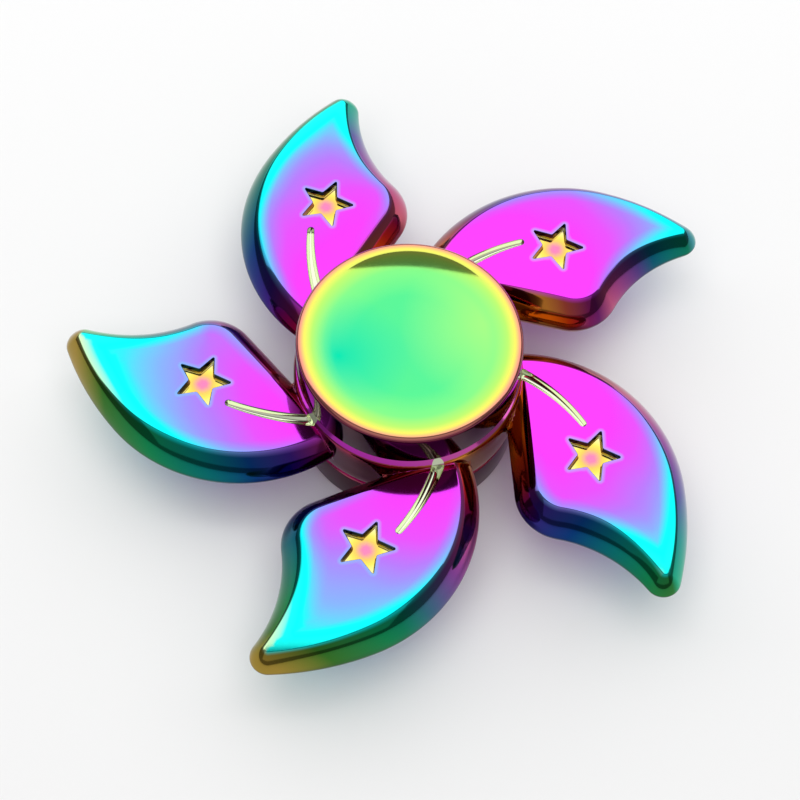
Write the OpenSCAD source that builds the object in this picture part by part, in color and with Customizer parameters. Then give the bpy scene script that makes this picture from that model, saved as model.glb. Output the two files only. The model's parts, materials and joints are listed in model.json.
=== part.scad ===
// Fidget spinner: a die-cast body of swirled petals turns on a small ball bearing,
// which is clamped between two dished finger caps.
//
// Millimetres. +Z is the spin axis. The origin is the centre of the lower cap's resting rim.
// Heights called "level" are measured from the mid-plane, which every part but the post shares.

/* [Overall] */
// Height over both finger caps
total_height = 14.6; // [13.8:0.1:16]
// Number of petals round the hub
petal_count = 5; // [3:1:5]
// Direction of the first petal's star, seen from above
first_petal_angle = -90; // [-180:1:180]

/* [Petals] */
// Radius of the rounded shoulder, the petal's broad leading edge
shoulder_r = 15; // [14.5:0.1:15.5]
// Distance from the spin axis to the shoulder's centre, along the petal
shoulder_x = 14.9; // [14.6:0.1:15.2]
// Offset of the shoulder's centre across the petal
shoulder_y = -5.7; // [-6:0.1:-5.4]
// Radius of the long outer flank
flank_r = 27.3; // [26.5:0.1:28]
// Direction in which the shoulder runs over into the flank
flank_start = 34; // [32:1:37]
// Direction in which the flank runs over into the nose
flank_end = 14; // [12.5:0.5:15.5]
// Radius of the hooked nose at the tip
nose_r = 1.65; // [1.4:0.05:1.9]
// Radius of the hollow between the nose and the heel
waist_r = 13; // [11.5:0.5:14.5]
// Radius of the heel, the corner next to the following petal
heel_r = 4.5; // [4.2:0.1:4.8]
// Distance from the spin axis to the heel's centre, along the petal
heel_x = 18.1; // [17.8:0.1:18.4]
// Offset of the heel's centre across the petal
heel_y = -3.3; // [-3.5:0.1:-3.1]
// Half of the petal's thickness at the top of its crown
crown_level = 3; // [2.8:0.05:3.2]
// Radius of the crowned faces
crown_r = 70; // [60:1:80]

/* [Star and groove] */
// Distance from the spin axis to the star's centre
star_x = 18.9; // [18.4:0.1:19.4]
// Radius to the star's tips
star_r = 2.7; // [2.2:0.1:2.9]
// Radius to the star's inner corners
star_inner_r = 1.2; // [0.9:0.05:1.4]
// Direction of one of the star's tips, seen along the petal
star_turn = 26; // [0:1:71]
// Depth of the star below the crown
star_depth = 0.75; // [0.4:0.05:1]
// Radius of the curved groove's centre line
groove_r = 20.1; // [19.5:0.1:21]
// Width of the groove at the hub
groove_root_w = 1.1; // [0.8:0.05:1.3]
// Width of the groove at its outer end
groove_end_w = 0.7; // [0.5:0.05:0.8]
// Depth of the groove below the face
groove_depth = 0.5; // [0.3:0.05:0.7]

/* [Hub] */
// Outer radius of the hub ring
hub_r = 10.6; // [10.5:0.05:10.8]
// Half of the hub ring's height at its outer edge
hub_edge_level = 2.25; // [2.1:0.05:2.5]
// Radius at which the hub ring reaches its full height
hub_face_r = 9.3; // [9:0.1:9.8]

/* [Finger caps] */
// Radius of each cap
cap_r = 10.3; // [10:0.05:10.4]
// Gap between a cap and the hub ring's face
cap_gap = 0.25; // [0.2:0.05:0.4]
// Radius of the round along a cap's top edge
cap_round_r = 0.5; // [0.3:0.05:0.7]
// Width of the flat land on which a cap rests
cap_land_w = 0.35; // [0.3:0.05:0.5]
// Depth of the dish for the fingertip
dish_depth = 1.2; // [0.6:0.05:1.5]
// Radius of the boss that bears on the inner ring
boss_r = 4.2; // [4:0.05:4.4]
// Radius of the threaded post
post_r = 1.95; // [1.5:0.05:2.1]

/* [Bearing] */
// Bore of the bearing
bearing_bore = 6; // [6:1:6]
// Outer diameter of the bearing
bearing_od = 17; // [17:1:17]
// Width of the bearing
bearing_width = 6; // [6:0.1:6.2]
// Number of balls
ball_count = 6; // [6:1:6]
// Diameter of each ball
ball_d = 3.572; // [3.5:0.001:3.6]
// Diameter of the circle through the balls' centres
pitch_d = 11.5; // [11.4:0.05:11.6]
// Depth of each race's groove at its deepest
race_depth = 0.68; // [0.5:0.02:0.72]
// Running clearance between a ball and each race
race_gap = 0.03; // [0.02:0.005:0.05]

/* [Cage and shields] */
// Thickness of the cage's pressed strip
strip_t = 0.25; // [0.2:0.05:0.25]
// Clearance between a ball and its pocket
pocket_gap = 0.1; // [0.08:0.01:0.1]
// Radial width of the cage
cage_w = 1.4; // [1.2:0.1:1.6]
// Radius of each rivet
rivet_r = 0.24; // [0.2:0.01:0.25]
// Thickness of a shield
shield_t = 0.25; // [0.2:0.05:0.25]
// Diameter of the snap ring's wire
snap_wire_d = 0.3; // [0.26:0.02:0.32]

/* [Hidden] */
$fn = 96;

CROWN_FN = 240;
cut = 1;                    // how far a cutting tool runs past the face it cuts
fit_gap = 0.01;             // clearance between parts that are assembled tight
arc_step = 7;               // degrees between the points along a petal's round stretches
petal_step = 360 / petal_count;
mid_z = total_height / 2;
bearing_level = bearing_width / 2;
bearing_r = bearing_od / 2;
bore_r = bearing_bore / 2;

// Petal outline: five arcs that run into one another, in the petal's own frame,
// where +X runs outwards through the star.
shoulder_centre = [shoulder_x, shoulder_y];
heel_centre = [heel_x, heel_y];
flank_centre = shoulder_centre - (flank_r - shoulder_r) * heading(flank_start);
nose_centre = flank_centre + (flank_r - nose_r) * heading(flank_end);
waist_centre = centre_below(heel_centre, waist_r + heel_r, nose_centre, waist_r + nose_r);
root_angle = 123;           // direction from the shoulder's centre in which the outline starts
heel_end = -146;            // direction in which the heel runs over into the straight inner edge
root_run = 8;               // length of the straight inner edge, which ends inside the hub ring
crown_centre = [19.5, 0.5]; // highest point of the crown

// Groove: its centre line passes through the hub ring's edge and ends beside the star.
groove_centre = [7.6, -15.4];
groove_start = 86;
groove_end = 63;

// Races and the stepped ends of the outer ring
ball_r = ball_d / 2;
pitch_r = pitch_d / 2;
race_curve_r = 1.03 * ball_r;
inner_race_r = pitch_r - ball_r - race_gap;
outer_race_r = pitch_r + ball_r + race_gap;
inner_shoulder_r = inner_race_r + race_depth;
outer_shoulder_r = outer_race_r - race_depth;
shield_level = ball_r + pocket_gap + strip_t + 0.12;
shield_seat_r = outer_shoulder_r + 0.5;
shield_gap = 0.12;          // between the shield's hole and the turning inner ring
snap_level = shield_level + shield_t + snap_wire_d / 2;
snap_r = shield_seat_r;     // the wire sits half in its groove and half over the shield
snap_opening = 24;          // angle of the gap between the snap ring's ends

rivet_head_r = 0.42;
rivet_head_h = 0.18;
spigot_r = bore_r - 0.03;   // the caps' spigots slide into the bearing's bore
spigot_gap = 0.3;           // between the two spigots inside the bore
post_gap = 0.05;            // between the post and the tapped bore
post_reach = 3.2;           // how far the post enters the lower cap below the mid-plane
cap_face_level = total_height / 2;
cap_base_level = crown_level + cap_gap;
dish_rim_r = cap_r - cap_round_r - cap_land_w;
dish_r = (dish_rim_r ^ 2 + dish_depth ^ 2) / (2 * dish_depth);

petal_colour = "mediumorchid";
cap_colour = "mediumseagreen";
ring_colour = "silver";
ball_colour = "gainsboro";
cage_colour = "darkkhaki";
shield_colour = "darkgray";

function heading(angle) = [cos(angle), sin(angle)];

// Centre that lies p_dist from p and q_dist from q, to the right of the way from p to q
function centre_below(p, p_dist, q, q_dist) =
    let (
        gap = norm(q - p),
        way = (q - p) / gap,
        along = (p_dist ^ 2 - q_dist ^ 2 + gap ^ 2) / (2 * gap),
        across = sqrt(p_dist ^ 2 - along ^ 2)
    )
    p + along * way + across * [way[1], -way[0]];

// Direction from p to q in degrees
function bearing_of(p, q) = atan2(q[1] - p[1], q[0] - p[0]);

// Points along an arc, both ends included
function arc(centre, r, from, to) =
    let (steps = ceil(abs(to - from) / arc_step))
    [for (i = [0:steps]) centre + r * heading(from + (to - from) * i / steps)];

petal_outline = concat(
    arc(shoulder_centre, shoulder_r, root_angle, flank_start),
    arc(flank_centre, flank_r, flank_start, flank_end),
    arc(nose_centre, nose_r, flank_end, bearing_of(nose_centre, waist_centre)),
    arc(waist_centre, waist_r,
        bearing_of(waist_centre, nose_centre), bearing_of(waist_centre, heel_centre)),
    arc(heel_centre, heel_r, bearing_of(heel_centre, waist_centre), heel_end),
    [heel_centre + heel_r * heading(heel_end) + root_run * heading(heel_end - 90)]
);

star_outline = [
    for (i = [0:9])
        [star_x, 0] + (i % 2 == 0 ? star_r : star_inner_r) * heading(star_turn + 36 * i)
];

// The groove widens evenly from its outer end to the hub.
groove_steps = 8;
function groove_side(side) = [
    for (i = [0:groove_steps])
        let (
            t = i / groove_steps,
            half_w = (groove_end_w + (groove_root_w - groove_end_w) * t) / 2
        )
        groove_centre
            + (groove_r + side * half_w) * heading(groove_end + (groove_start - groove_end) * t)
];
function reversed(list) = [for (i = [len(list) - 1:-1:0]) list[i]];

// A ring of rectangular section about the spin axis
module ring(inner_r, outer_r, low, high) {
    rotate_extrude()
        translate([inner_r, low])
            square([outer_r - inner_r, high - low]);
}

// Everything above is drawn about the mid-plane and lifted here.
module at_mid_plane() {
    translate([0, 0, mid_z])
        children();
}

module at_petal(i) {
    rotate([0, 0, first_petal_angle + petal_step * i])
        children();
}

// The ball whose top is a petal's upper crown, or a shell inset below it
module crown_ball(inset = 0) {
    translate([crown_centre[0], crown_centre[1], crown_level - crown_r])
        rotate([0, 90, 0])
            sphere(r = crown_r - inset, $fn = CROWN_FN);
}

module petal() {
    intersection() {
        translate([0, 0, -crown_level])
            linear_extrude(2 * crown_level)
                polygon(petal_outline);
        crown_ball();
        mirror([0, 0, 1])
            crown_ball();
    }
}

module groove_plan() {
    polygon(concat(groove_side(1), reversed(groove_side(-1))));
    translate(groove_centre + groove_r * heading(groove_end))
        circle(r = groove_end_w / 2, $fn = 24);
}

// Star and groove as they are cut into a petal's upper face
module face_cuts() {
    translate([0, 0, crown_level - star_depth])
        linear_extrude(star_depth + cut)
            polygon(star_outline);
    difference() {
        linear_extrude(crown_level + cut)
            groove_plan();
        crown_ball(groove_depth);
    }
}

module petal_body() {
    color(petal_colour)
        at_mid_plane()
            difference() {
                union() {
                    hub_ring();
                    for (i = [0:petal_count - 1])
                        at_petal(i)
                            petal();
                }
                cylinder(r = bearing_r + fit_gap, h = 2 * (crown_level + cut), center = true);
                for (i = [0:petal_count - 1])
                    at_petal(i) {
                        face_cuts();
                        mirror([0, 0, 1])
                            face_cuts();
                    }
            }
}

// The hub ring is full height round the bearing and slopes down to its outer edge.
module hub_ring() {
    rotate_extrude()
        polygon([
            [bearing_r - 0.2, -crown_level], [hub_face_r, -crown_level],
            [hub_r, -hub_edge_level], [hub_r, hub_edge_level],
            [hub_face_r, crown_level], [bearing_r - 0.2, crown_level]
        ]);
}

// Half section of a cap's disc, with a rounded top edge and a flat resting land
module cap_section() {
    translate([0, cap_base_level])
        square([cap_r, cap_face_level - cap_round_r - cap_base_level]);
    translate([0, cap_base_level])
        square([cap_r - cap_round_r, cap_face_level - cap_base_level]);
    translate([cap_r - cap_round_r, cap_face_level - cap_round_r])
        circle(r = cap_round_r);
}

// Cap with its dish, boss and spigot, as it sits above the mid-plane
module cap() {
    difference() {
        union() {
            rotate_extrude()
                cap_section();
            ring(0, boss_r, bearing_level, cap_base_level + cut);
            ring(0, spigot_r, spigot_gap / 2, bearing_level + cut);
        }
        translate([0, 0, cap_face_level - dish_depth + dish_r])
            sphere(r = dish_r, $fn = CROWN_FN);
    }
}

module upper_cap() {
    color(cap_colour)
        at_mid_plane()
            union() {
                cap();
                ring(0, post_r, -post_reach, cut);
            }
}

module lower_cap() {
    color(cap_colour)
        at_mid_plane()
            difference() {
                mirror([0, 0, 1])
                    cap();
                ring(0, post_r + post_gap, -post_reach - spigot_gap, 0);
            }
}

// Round section that cuts the ball's race into a ring
module race(bottom_r, side) {
    rotate_extrude()
        translate([bottom_r + side * race_curve_r, 0])
            circle(r = race_curve_r);
}

module bearing_outer_ring() {
    color(ring_colour)
        at_mid_plane()
            difference() {
                ring(outer_shoulder_r, bearing_r, -bearing_level, bearing_level);
                race(outer_race_r, -1);
                for (side = [0, 1])
                    mirror([0, 0, side]) {
                        ring(outer_shoulder_r - cut, shield_seat_r,
                            shield_level, bearing_level + cut);
                        rotate_extrude()
                            translate([snap_r, snap_level])
                                circle(r = snap_wire_d / 2 + fit_gap, $fn = 24);
                    }
            }
}

module bearing_inner_ring() {
    color(ring_colour)
        at_mid_plane()
            difference() {
                ring(bore_r, inner_shoulder_r, -bearing_level, bearing_level);
                race(inner_race_r, 1);
            }
}

module at_ball(i) {
    rotate([0, 0, 360 / ball_count * i])
        translate([pitch_r, 0, 0])
            children();
}

module ball(i) {
    color(ball_colour)
        at_mid_plane()
            at_ball(i)
                sphere(r = ball_r);
}

module ball_1() {
    ball(0);
}

module ball_2() {
    ball(1);
}

module ball_3() {
    ball(2);
}

module ball_4() {
    ball(3);
}

module ball_5() {
    ball(4);
}

module ball_6() {
    ball(5);
}

// Upper half of the pressed cage: a flat strip that rises over each ball
module cage_half() {
    pocket_r = ball_r + pocket_gap;
    difference() {
        intersection() {
            ring(pitch_r - cage_w / 2, pitch_r + cage_w / 2, 0, pocket_r + strip_t + cut);
            union() {
                cylinder(r = bearing_r, h = 2 * strip_t, center = true);
                for (i = [0:ball_count - 1])
                    at_ball(i)
                        sphere(r = pocket_r + strip_t);
            }
        }
        for (i = [0:ball_count - 1]) {
            at_ball(i)
                sphere(r = pocket_r);
            at_ball(i + 0.5)
                cylinder(r = rivet_r + fit_gap, h = 4 * strip_t, center = true);
        }
    }
}

module cage_upper() {
    color(cage_colour)
        at_mid_plane()
            cage_half();
}

module cage_lower() {
    color(cage_colour)
        at_mid_plane()
            mirror([0, 0, 1])
                cage_half();
}

module cage_rivets() {
    color(ring_colour)
        at_mid_plane()
            for (i = [0:ball_count - 1])
                at_ball(i + 0.5) {
                    cylinder(r = rivet_r, h = 2 * strip_t + rivet_head_h, center = true);
                    for (side = [0, 1])
                        mirror([0, 0, side])
                            translate([0, 0, strip_t])
                                cylinder(r = rivet_head_r, h = rivet_head_h);
                }
}

module shield() {
    ring(inner_shoulder_r + shield_gap, shield_seat_r - fit_gap,
        shield_level, shield_level + shield_t);
}

module shield_upper() {
    color(shield_colour)
        at_mid_plane()
            shield();
}

module shield_lower() {
    color(shield_colour)
        at_mid_plane()
            mirror([0, 0, 1])
                shield();
}

// Open wire ring that holds a shield against its step
module snap_ring() {
    rotate([0, 0, snap_opening / 2])
        rotate_extrude(angle = 360 - snap_opening)
            translate([snap_r, snap_level])
                circle(r = snap_wire_d / 2, $fn = 24);
}

module snap_ring_upper() {
    color(ring_colour)
        at_mid_plane()
            snap_ring();
}

module snap_ring_lower() {
    color(ring_colour)
        at_mid_plane()
            mirror([0, 0, 1])
                snap_ring();
}

petal_body();
upper_cap();
lower_cap();
bearing_outer_ring();
bearing_inner_ring();
ball_1();
ball_2();
ball_3();
ball_4();
ball_5();
ball_6();
cage_upper();
cage_lower();
cage_rivets();
shield_upper();
shield_lower();
snap_ring_upper();
snap_ring_lower();
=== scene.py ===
"""Looks of the fidget spinner: rainbow-plated petals, two dished caps and the bearing between them.

Lengths are millimetres until a mesh or the camera is made, and then metres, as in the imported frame.
The floor and the lights are given in metres. Heights called "level" are measured from the mid-plane,
about which the spinner is symmetric, apart from the post that joins the caps and its socket.
"""

import json
import math

import bpy
import numpy as np
from mathutils import Matrix, Vector
from mathutils.geometry import delaunay_2d_cdt


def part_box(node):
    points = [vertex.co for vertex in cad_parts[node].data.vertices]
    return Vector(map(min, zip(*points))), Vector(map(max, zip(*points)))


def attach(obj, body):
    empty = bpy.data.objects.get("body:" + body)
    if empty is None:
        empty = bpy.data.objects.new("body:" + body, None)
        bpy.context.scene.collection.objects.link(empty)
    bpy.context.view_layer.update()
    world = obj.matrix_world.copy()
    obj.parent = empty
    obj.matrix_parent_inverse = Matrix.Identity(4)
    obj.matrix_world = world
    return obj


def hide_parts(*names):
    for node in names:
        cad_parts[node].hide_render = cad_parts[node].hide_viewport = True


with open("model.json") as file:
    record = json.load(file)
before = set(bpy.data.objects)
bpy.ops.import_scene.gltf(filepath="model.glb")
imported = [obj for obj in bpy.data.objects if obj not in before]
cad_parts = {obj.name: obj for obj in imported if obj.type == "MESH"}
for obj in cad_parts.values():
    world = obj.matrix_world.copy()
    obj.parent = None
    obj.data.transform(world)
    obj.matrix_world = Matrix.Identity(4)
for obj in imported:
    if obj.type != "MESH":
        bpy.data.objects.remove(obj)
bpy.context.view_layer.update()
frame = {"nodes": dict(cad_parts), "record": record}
MM = 0.001
VIEW_TURN = 8.833    # how far the camera stands round the spin axis from straight in front, in degrees


# ---------------------------------------------------------------- dimensions taken from the frame
def box_mm(node):
    """Lowest and highest corner of a CAD node in millimetres."""
    low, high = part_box(node)
    return np.array(low) / MM, np.array(high) / MM


BODY_LOW, BODY_HIGH = box_mm("petal_body")
CAP_HIGH = box_mm("upper_cap")[1]
RING_HIGH = box_mm("bearing_outer_ring")[1]

MID_Z = (BODY_LOW[2] + BODY_HIGH[2]) / 2
CROWN_LEVEL = (BODY_HIGH[2] - BODY_LOW[2]) / 2
CAP_R = CAP_HIGH[0]
CAP_FACE_LEVEL = CAP_HIGH[2] - MID_Z
BEARING_R = RING_HIGH[0]
BEARING_LEVEL = RING_HIGH[2] - MID_Z

# ---------------------------------------------------------------- petals
PETALS = 5
PETAL_STEP = 360 / PETALS
FIRST_PETAL = -90

SHOULDER_C, SHOULDER_R = np.array([14.9, -5.7]), 15.0
SHOULDER_START = 200.0    # direction in which the shoulder's arc starts, beyond the spin axis
OUTLINE_START = 160.0     # direction of the first point drawn on it, still inside the hub
FLANK_R, FLANK_START, FLANK_END = 27.3, 34.0, 14.0
NOSE_R = 1.65
WAIST_R = 13.0
HEEL_C, HEEL_R, HEEL_END = np.array([18.1, -3.3]), 4.5, -146.0
STRAIGHT_RUN = 12.0       # drawn length of the straight edge, which ends inside the hub

CROWN_C, CROWN_R = np.array([19.5, 0.5]), 70.0
RIM_W = 1.9               # how far the rounded rim reaches inwards
RIM_TAPER = (22.0, 30.0)  # distances from the spin axis between which the rim narrows
RIM_TIP_SHARE = 0.72      # share of its width left at the petal's tip
RIM_POWER = 1.38          # superellipse power of its section: under 2 is flatter than an ellipse

STAR_C = np.array([18.9, 0.0])
STAR_R, STAR_INNER_R, STAR_TURN = 2.7, 1.2, 26.0
STAR_TIP_ROUND, STAR_CORNER_ROUND = 0.08, 0.25
STAR_FLOOR_LEVEL = CROWN_LEVEL - 0.75
STAR_EDGE, STAR_WALL_W, STAR_FILLET = 0.09, 0.05, 0.12
STAR_MARGIN, STAR_FAR = 1.0, 2.0
STAR_SIDE_SHARES = (0.35, 0.5, 0.65)    # where the straight sides of the outline get points
STAR_FACE_LOOP, STAR_FLOOR_LOOP = 0.2, -0.4     # offsets of its outermost and innermost loops

GROOVE_C, GROOVE_R = np.array([7.6, -15.4]), 20.1
GROOVE_END, GROOVE_START = 63.0, 85.0
GROOVE_END_W, GROOVE_ROOT_W = 0.66, 1.1
GROOVE_DEPTH, GROOVE_POWER = 0.5, 0.6
GROOVE_SHARES = (1.06, 1.0, 0.96, 0.86, 0.68, 0.42, 0.15)    # of its half width, drawn as loops
GROOVE_STEPS = 40

HUB_R, HUB_FACE_R, HUB_EDGE_LEVEL = 10.6, 9.3, 2.25
HUB_EDGE_W, HUB_EDGE_POWER = 0.3, 3.5
BORE_R = BEARING_R + 0.01
JOIN_BLEND = 0.35         # softness of the crease where a petal meets the hub ring
NOTHING_LEVEL = -1.0      # level given where a petal or the hub isn't there

CUT_ANGLE = -12.0         # direction, in the petal's frame, that splits the hub ring into fifths
CUT_TOLERANCE = 0.01      # slivers this close to the cut, in degrees, are left out
EDGE_TOLERANCE = 2e-3     # points this close to the outline lie on the mid-plane
HUB_TOLERANCE = 1e-4      # points this close to the hub's radius belong to its edge
BORE_TOLERANCE = 1e-3     # points this close to the bore's radius belong to its wall
HUB_INNER_RADII = [10.0, 9.7, HUB_FACE_R, 9.0, BORE_R]
HUB_STEPS = 72
CDT_TOLERANCE, SLIVER_AREA = 1e-5, 1e-9
RIM_RINGS = 15
PAST_CREASE = [1.04, 1.25]    # shares of the rim's width at which two more rings keep the face smooth
RIM_SPACING, NOSE_SPACING_SHARE = 0.36, 0.45
FACE_SPACING = 0.5
FACE_X, FACE_Y = (8, 33), (-10, 11)     # area of the grid that fills the face
FACE_START, FACE_GAP = 1.4, 0.4     # in widths of the rim, and least gap as a share of the spacing
HUB_CLEARANCE = 0.1
WIDTH_PASSES, HALVINGS = 6, 40      # repeats that settle the rim's width and the hub crossings
ROW_SHARE = 0.866         # distance between the grid's rows as a share of the spacing in a row

# What each point of the body carries for its plating, in mm or as a share
MARKS = ("inset", "star_edge", "star_reach", "groove_share", "edge_highlight_shift")
INSET_LIMIT, SHARE_LIMIT = 8, 3
# Painted highlight: the colour runs ahead along edges that face the camera's left or right at rest,
# fixed to the body so it turns with it
LEFT_HIGHLIGHT_SHIFT, RIGHT_HIGHLIGHT_SHIFT = 8.5, 4.2
LEFTWARDS = 180 + VIEW_TURN


def heading(angle):
    """Unit vector at an angle in degrees."""
    return np.array([math.cos(math.radians(angle)), math.sin(math.radians(angle))])


def direction(p, q):
    """Angle in degrees from p to q."""
    return math.degrees(math.atan2(q[1] - p[1], q[0] - p[0]))


def centre_below(p, p_dist, q, q_dist):
    """Point at p_dist from p and q_dist from q, to the right of the way from p to q."""
    gap = np.linalg.norm(q - p)
    way = (q - p) / gap
    along = (p_dist**2 - q_dist**2 + gap**2) / (2 * gap)
    across = math.sqrt(p_dist**2 - along**2)
    return p + along * way + across * np.array([way[1], -way[0]])


FLANK_C = SHOULDER_C - (FLANK_R - SHOULDER_R) * heading(FLANK_START)
NOSE_C = FLANK_C + (FLANK_R - NOSE_R) * heading(FLANK_END)
WAIST_C = centre_below(HEEL_C, WAIST_R + HEEL_R, NOSE_C, WAIST_R + NOSE_R)
EDGE_START = HEEL_C + HEEL_R * heading(HEEL_END)
EDGE_WAY = heading(HEEL_END - 90)
EDGE_OUT = heading(HEEL_END)

# Centre, radius, first and last direction, and whether the arc bulges outwards
ARCS = [
    (SHOULDER_C, SHOULDER_R, SHOULDER_START, FLANK_START, True),
    (FLANK_C, FLANK_R, FLANK_START, FLANK_END, True),
    (NOSE_C, NOSE_R, FLANK_END, direction(NOSE_C, WAIST_C), True),
    (WAIST_C, WAIST_R, direction(WAIST_C, NOSE_C), direction(WAIST_C, HEEL_C), False),
    (HEEL_C, HEEL_R, direction(HEEL_C, WAIST_C), HEEL_END, True),
]


def rim_distance(p):
    """How far points (n, 2) lie inside the petal's outline, which runs on through the hub."""
    best = np.full(len(p), 1e9)
    for centre, radius, first, last, bulges in ARCS:
        rel = p - centre
        dist = np.hypot(rel[:, 0], rel[:, 1])
        low, high = min(first, last), max(first, last)
        angle = (np.degrees(np.arctan2(rel[:, 1], rel[:, 0])) - low + 1e-6) % 360
        inside = radius - dist if bulges else dist - radius
        best = np.where(angle <= high - low + 2e-6, np.minimum(best, inside), best)
    rel = p - EDGE_START
    along = rel @ EDGE_WAY
    return np.where(along >= 0, np.minimum(best, -(rel @ EDGE_OUT)), best)


def rim_profile(t, power):
    """Share of the full height at share t of the rim's width."""
    t = np.clip(t, 0, 1)
    return (1 - (1 - t) ** power) ** (1 / power)


def crown(p):
    """Level of the petal's gently domed face."""
    return CROWN_LEVEL - ((p - CROWN_C) ** 2).sum(1) / (2 * CROWN_R)


def rotated(p, degrees):
    """Points turned about the spin axis."""
    c, s = math.cos(math.radians(degrees)), math.sin(math.radians(degrees))
    return p @ np.array([[c, s], [-s, c]])


def soft_max(a, b, width):
    """Larger of two values, blended where they differ by less than width."""
    h = np.clip(1 - np.abs(a - b) / width, 0, 1)
    return np.maximum(a, b) + h * h * width / 4


def rim_width(p):
    """Width of the rounded rim, which narrows smoothly towards the petal's tip."""
    start, end = RIM_TAPER
    t = np.clip((np.hypot(p[:, 0], p[:, 1]) - start) / (end - start), 0, 1)
    return RIM_W * (1 - (1 - RIM_TIP_SHARE) * t * t * (3 - 2 * t))


def petal_level(p):
    """Level of a petal's surface, before its star and groove are cut."""
    d = rim_distance(p)
    return np.where(d > 0, crown(p) * rim_profile(d / rim_width(p), RIM_POWER), NOTHING_LEVEL)


def hub_level(p):
    """Level of the hub ring: a flat face, a slope outwards and a small rounded edge."""
    r = np.hypot(p[:, 0], p[:, 1])
    slope = (CROWN_LEVEL - HUB_EDGE_LEVEL) / (HUB_R - HUB_FACE_R)
    top = np.minimum(CROWN_LEVEL, HUB_EDGE_LEVEL + (HUB_R - r) * slope)
    edge = rim_profile((HUB_R - r) / HUB_EDGE_W, HUB_EDGE_POWER)
    return np.where(r < HUB_R, top * edge, NOTHING_LEVEL)


def corner_arc(corner, before, after, radius, steps=6):
    """Points of the arc that rounds a corner of an outline."""
    u = (before - corner) / np.linalg.norm(before - corner)
    v = (after - corner) / np.linalg.norm(after - corner)
    half = math.acos(float(np.clip(u @ v, -1, 1))) / 2
    middle = (u + v) / np.linalg.norm(u + v)
    centre = corner + middle * radius / math.sin(half)
    start = direction(centre, corner + u * radius / math.tan(half))
    turn = (direction(centre, corner + v * radius / math.tan(half)) - start + 180) % 360 - 180
    return [centre + radius * heading(start + turn * i / steps) for i in range(steps + 1)]


def star_outline():
    """Rounded star as a closed list of points, counter-clockwise."""
    corners = [
        STAR_C + (STAR_R if i % 2 == 0 else STAR_INNER_R) * heading(STAR_TURN + 36 * i)
        for i in range(10)
    ]
    points = []
    for i, corner in enumerate(corners):
        radius = STAR_TIP_ROUND if i % 2 == 0 else STAR_CORNER_ROUND
        following = corners[(i + 1) % 10]
        points += corner_arc(corner, corners[i - 1], following, radius)
        points += [corner + (following - corner) * share for share in STAR_SIDE_SHARES]
    return np.array(points)


STAR = star_outline()


def polygon_distance(p, loop):
    """Signed distance from points to a closed outline, negative inside."""
    a, b = loop, np.roll(loop, -1, 0)
    edge = b - a
    rel = p[:, None] - a[None]
    share = np.clip((rel * edge).sum(2) / (edge**2).sum(1), 0, 1)
    near = np.linalg.norm(rel - share[..., None] * edge, axis=2).min(1)
    crosses = (a[None, :, 1] > p[:, None, 1]) != (b[None, :, 1] > p[:, None, 1])
    rise = np.where(edge[:, 1] == 0, 1e-12, edge[:, 1])
    at_x = a[:, 0] + (p[:, None, 1] - a[None, :, 1]) * edge[:, 0] / rise
    inside = (crosses & (p[:, None, 0] < at_x)).sum(1) % 2 == 1
    return np.where(inside, -near, near)


def star_distance(p):
    """Distance to the star's outline, negative inside and cut off at STAR_FAR."""
    s = np.full(len(p), STAR_FAR)
    near = np.linalg.norm(p - STAR_C, axis=1) < STAR_R + STAR_MARGIN
    if near.any():
        s[near] = polygon_distance(p[near], STAR)
    return s


def with_star(p, level):
    """Cuts the star's recess: rounded edge, steep wall, small fillet and flat floor."""
    s = star_distance(p)
    edge_drop = STAR_EDGE - np.sqrt(np.clip(STAR_EDGE**2 - (STAR_EDGE - s) ** 2, 0, None))
    top = level - STAR_EDGE
    foot = STAR_FLOOR_LEVEL + STAR_FILLET
    wall = top + (foot - top) * np.clip(-s / STAR_WALL_W, 0, 1)
    reach = np.clip(-s - STAR_WALL_W, 0, STAR_FILLET)
    curve = np.sqrt(np.clip(STAR_FILLET**2 - (STAR_FILLET - reach) ** 2, 0, None))
    cut = np.where(s < -STAR_WALL_W, foot - curve, wall)
    cut = np.where(s >= 0, level - edge_drop, cut)
    return np.where(s >= STAR_EDGE, level, cut)


def groove_share(p):
    """Distance from the groove's centre line as a share of its half width there."""
    rel = p - GROOVE_C
    angle = np.degrees(np.arctan2(rel[:, 1], rel[:, 0]))
    t = np.clip((angle - GROOVE_END) / (GROOVE_START - GROOVE_END), 0, 1)
    half = (GROOVE_END_W + (GROOVE_ROOT_W - GROOVE_END_W) * t) / 2
    on_line = np.radians(GROOVE_END + (GROOVE_START - GROOVE_END) * t)
    line = GROOVE_C + GROOVE_R * np.stack([np.cos(on_line), np.sin(on_line)], 1)
    return np.linalg.norm(p - line, axis=1) / half


def with_groove(p, level):
    """Cuts the groove, which has a round bottom."""
    share = groove_share(p)
    return level - GROOVE_DEPTH * np.clip(1 - share**2, 0, None) ** GROOVE_POWER


def body_level(p):
    """Level of the petal body's upper surface over points in the first petal's own frame."""
    own = petal_level(p)
    own = np.where(own > 0, with_star(p, with_groove(p, own)), own)
    others = [petal_level(rotated(p, -PETAL_STEP * k)) for k in range(1, PETALS)]
    petals = np.maximum(own, np.max(others, 0))
    hub = hub_level(p)
    both = (petals > 0) & (hub > 0)
    return np.where(both, soft_max(petals, hub, JOIN_BLEND), np.maximum(petals, hub))


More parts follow.
